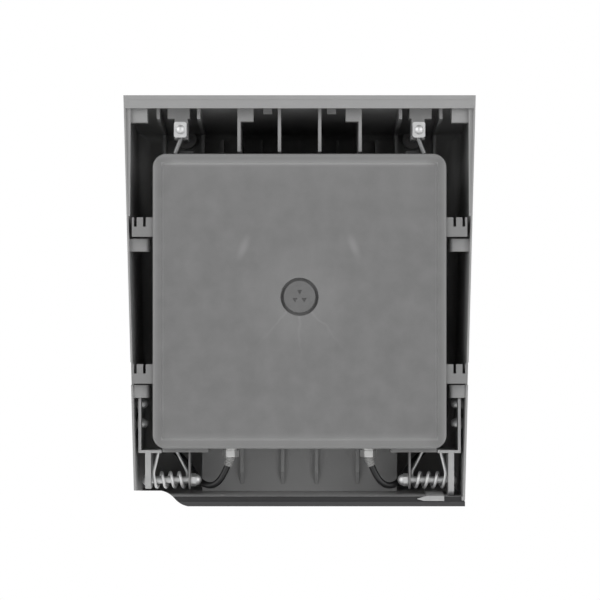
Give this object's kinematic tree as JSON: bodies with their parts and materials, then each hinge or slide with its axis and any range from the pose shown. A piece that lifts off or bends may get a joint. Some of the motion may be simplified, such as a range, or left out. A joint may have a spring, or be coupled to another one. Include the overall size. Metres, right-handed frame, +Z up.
{
  "type": "cutoff wall pack light",
  "caption": "Full-cutoff wall pack seen from its wall side: a flat back box inside a cast housing that swings down on sprung hinges and is held shut by turn latches.",
  "frame": {"origin": "middle of the cable entry, on the wall face of the back box", "axes": "+Z up, +Y away from the wall, +X to the right as seen from the wall side"},
  "size_m": [0.2482, 0.104, 0.2904],
  "materials": {
    "box_moulding": "grey moulded plastic, fine matt grain",
    "cast_shell": "die-cast, grey powder coat",
    "zinc_steel": "zinc plated sheet steel",
    "bright_steel": "bright plated fasteners",
    "spring_steel": "zinc plated spring wire",
    "nickel": "nickel plated brass",
    "black_rubber": "black moulded rubber",
    "painted_steel": "sheet steel painted grey like the box",
    "dark_steel": "black coated sheet steel",
    "grey_rubber": "grey moulded rubber",
    "frame_casting": "die-cast, dark grey powder coat",
    "lead_jacket": "black satin cable jacket",
    "plug_plastic": "grey moulded plastic",
    "lens_clear": "clear",
    "reflector_bright": "bright anodised",
    "board_white": "white solder mask",
    "led_phosphor": "yellow phosphor",
    "pad_grey": "soft grey pad",
    "connector_white": "white nylon",
    "driver_case": "plain drawn case",
    "terminal_black": "black moulded",
    "surge_blue": "potted case",
    "ground_green": "green enamel"
  },
  "bodies": {
    "back_box": {"back_cover": "box_moulding", "entry_plug": "plug_plastic", "plug_gasket": "black_rubber", "box_lid": "box_moulding", "lid_gasket": "black_rubber", "lid_screws": "bright_steel", "led_driver": "driver_case", "driver_screws": "bright_steel", "terminal_block": "terminal_black", "surge_protector": "surge_blue", "ground_screw": "ground_green", "hanger_left": "painted_steel", "hanger_right": "painted_steel", "hanger_screws": "bright_steel", "gland_left": "nickel", "gland_right": "nickel", "gland_nuts": "nickel", "strain_relief_left": "grey_rubber", "strain_relief_right": "grey_rubber", "lead_left": "lead_jacket", "lead_right": "lead_jacket", "latch_keepers": "dark_steel", "keeper_screws": "dark_steel"},
    "housing": {"shell": "cast_shell", "lens_gasket": "black_rubber", "lens_frame": "frame_casting", "lens": "lens_clear", "frame_screws": "bright_steel", "thermal_pad": "pad_grey", "led_board": "board_white", "led_chips": "led_phosphor", "board_screws": "bright_steel", "lead_connectors": "connector_white", "reflector": "reflector_bright", "grommets": "black_rubber", "blanking_plate": "bright_steel", "hinge_bracket_left": "zinc_steel", "hinge_bracket_right": "zinc_steel", "bracket_screws": "bright_steel", "pivot_bolt_left": "bright_steel", "pivot_bolt_right": "bright_steel", "pivot_nuts": "bright_steel", "torsion_spring_left": "spring_steel", "torsion_spring_right": "spring_steel", "pivot_washers": "bright_steel"},
    "latch_left": {"latch_hub_left": "bright_steel", "latch_rod_left": "zinc_steel", "latch_shaft_left": "bright_steel", "latch_screw_left": "bright_steel"},
    "latch_right": {"latch_hub_right": "bright_steel", "latch_rod_right": "zinc_steel", "latch_shaft_right": "bright_steel", "latch_screw_right": "bright_steel"}
  },
  "joints": [
    {"name": "housing_swing", "type": "hinge", "parent": "back_box", "child": "housing", "pos_m": [0, 0.025, -0.1309], "axis": [-1, 0, 0], "range_deg": [0, 75], "stiffness_Nm_per_rad": 2, "springref_deg": -34.38, "deforming": ["torsion_spring_left", "torsion_spring_right", "lead_left", "lead_right"]},
    {"name": "latch_left_turn", "type": "hinge", "parent": "housing", "child": "latch_left", "pos_m": [-0.0844, 0.013, 0.1182], "axis": [0, -1, 0], "range_deg": [0, 21]},
    {"name": "latch_right_turn", "type": "hinge", "parent": "housing", "child": "latch_right", "pos_m": [0.0844, 0.013, 0.1182], "axis": [0, 1, 0], "range_deg": [0, 21]}
  ]
}
